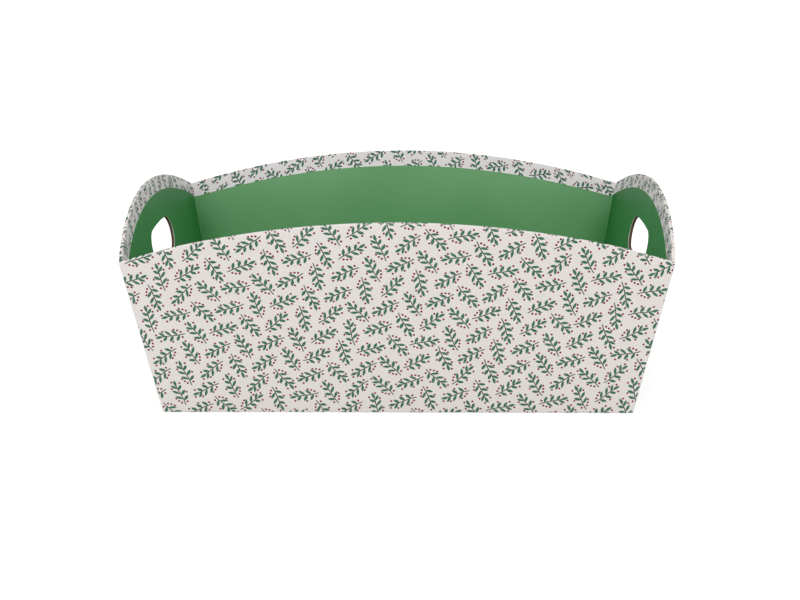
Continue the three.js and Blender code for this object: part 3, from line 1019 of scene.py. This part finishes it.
# Of the shown face, the cut edges and the back of a sheet
wrap_materials = (print_material, paper_edge, paper_back)
liner_materials = (lining, lining_edge, paper_back)
end_liner_materials = (end_lining_painted_light, lining_edge, paper_back)
board_materials = (board_material, board_material, board_material)
stay_materials = (stay_material, stay_material, stay_material)
base_materials = (base_paper, paper_edge, paper_back)


# Pieces

def stand_in(piece):
    """Each piece stands for the solid that it is named after."""
    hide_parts(piece.name.removesuffix(SHOWN))
    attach(piece, "root")


for wall in (front, back, left, right):
    stand_in(make_liner(wall, end_liner_materials if wall in CORNERS else liner_materials))
    stand_in(make_wrap(wall, wrap_materials))
    stand_in(make_board(wall, board_materials))
for end, corners in CORNERS.items():
    for corner in corners:
        stand_in(make_stay(end, *corner, stay_materials))
stand_in(
    make_base_panel("base_liner", FLOOR_INSET, FLOOR_LEVEL, CARD, liner_materials, FLOOR_SWELL, upward=True),
)
stand_in(
    make_base_panel("base_sheet", SHEET_INSET, 0.0, PAPER, base_materials, SHEET_SWELL, upward=False),
)

base_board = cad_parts["base_board"]
base_board.data.materials.clear()
base_board.data.materials.append(board_material)


# Camera, floor and light

SENSOR = 36                  # mm, as the lens
LENS = 59.95
CAMERA_PLACE = (21.2 * MM, -1074.9 * MM, 354.9 * MM)
CAMERA_TURN = math.radians(1.137)
CAMERA_PITCH = math.radians(90 - 15.70)      # up from looking straight down
CAMERA_ROLL = math.radians(-0.259)
FLOOR_REACH = 9.0
FLOOR_GREY = (0.7, 0.7, 0.7, 1)
FLOOR_LIFT = (0.3, 1.2, 0.5, 1.0)        # two distances and the light added there, for the camera alone
WHITE = (1, 1, 1, 1)
WORLD_LIGHT = (-0.6, 0.8, 0.94, 0.78)    # start and end of the change towards the back, and the levels there
REFLECTED = (-0.95, 0.0, 1.0, 0.15)      # the same, as reflections see it
LAMP_PLACE = Vector((-0.2, -2.4, 1.25))
LAMP_TARGET = Vector((0, 0, 0.1))
LAMP_SIZE = (2.0, 1.2)
LAMP_POWER = 17


def add_object(name, data, matrix=Matrix.Identity(4)):
    """Puts a mesh, lamp or camera into the scene."""
    holder = bpy.data.objects.new(name, data)
    bpy.context.collection.objects.link(holder)
    holder.matrix_world = matrix
    return holder


def make_camera():
    camera = bpy.data.cameras.new("camera")
    camera.sensor_width = SENSOR
    camera.lens = LENS
    spot = Matrix.Translation(CAMERA_PLACE)
    turn = Matrix.Rotation(CAMERA_TURN, 4, "Z")
    pitch = Matrix.Rotation(CAMERA_PITCH, 4, "X")
    roll = Matrix.Rotation(CAMERA_ROLL, 4, "Z")
    bpy.context.scene.camera = add_object("camera", camera, spot @ turn @ pitch @ roll)


def floor_material():
    """Pale grey, lifted to white for the camera, which keeps the shadow."""
    material = bpy.data.materials.new("floor")
    material.use_nodes = True
    n = Nodes(material.node_tree)
    diffuse = n.node("ShaderNodeBsdfDiffuse")
    n.put(diffuse.inputs["Color"], FLOOR_GREY)
    distance = n.node("ShaderNodeVectorMath", operation="LENGTH")
    n.put(distance.inputs[0], n.place())
    lift = n.softly(distance.outputs["Value"], *FLOOR_LIFT)
    glow = n.node("ShaderNodeEmission")
    n.put(glow.inputs["Strength"], n.mul(n.ray("Is Camera Ray"), lift))
    both = n.node("ShaderNodeAddShader")
    n.put(both.inputs[0], diffuse.outputs[0])
    n.put(both.inputs[1], glow.outputs[0])
    output = n.node("ShaderNodeOutputMaterial")
    n.put(output.inputs["Surface"], both.outputs[0])
    return material


def make_floor():
    floor = bpy.data.meshes.new("floor")
    corners = [(x * FLOOR_REACH, y * FLOOR_REACH, 0) for x, y in ((-1, -1), (1, -1), (1, 1), (-1, 1))]
    floor.from_pydata(corners, [], [(0, 1, 2, 3)])
    floor.materials.append(floor_material())
    holder = add_object("floor", floor)


def make_lamp():
    """One large soft lamp in front."""
    lamp = bpy.data.lights.new("front_softbox", "AREA")
    lamp.shape = "RECTANGLE"
    lamp.size, lamp.size_y = LAMP_SIZE
    lamp.energy = LAMP_POWER
    aim = (LAMP_TARGET - LAMP_PLACE).to_track_quat("-Z", "Y").to_matrix().to_4x4()
    add_object("front_softbox", lamp, Matrix.Translation(LAMP_PLACE) @ aim)


def make_world():
    """Soft light from all round, less from behind; the camera sees plain white."""
    world = bpy.data.worlds.new("studio")
    world.use_nodes = True
    n = Nodes(world.node_tree)
    background = n.node("ShaderNodeBackground")
    n.put(background.inputs["Color"], WHITE)
    output = n.node("ShaderNodeOutputWorld")
    n.put(output.inputs["Surface"], background.outputs[0])
    backward = n.split(n.place("Generated"))[1]
    lit = n.pick(
        n.ray("Is Glossy Ray"), n.softly(backward, *REFLECTED), n.softly(backward, *WORLD_LIGHT),
    )
    n.put(background.inputs["Strength"], n.pick(n.ray("Is Camera Ray"), 1.0, lit))
    bpy.context.scene.world = world


make_camera()
make_floor()
make_world()
make_lamp()

bpy.context.scene.view_settings.view_transform = "Standard"
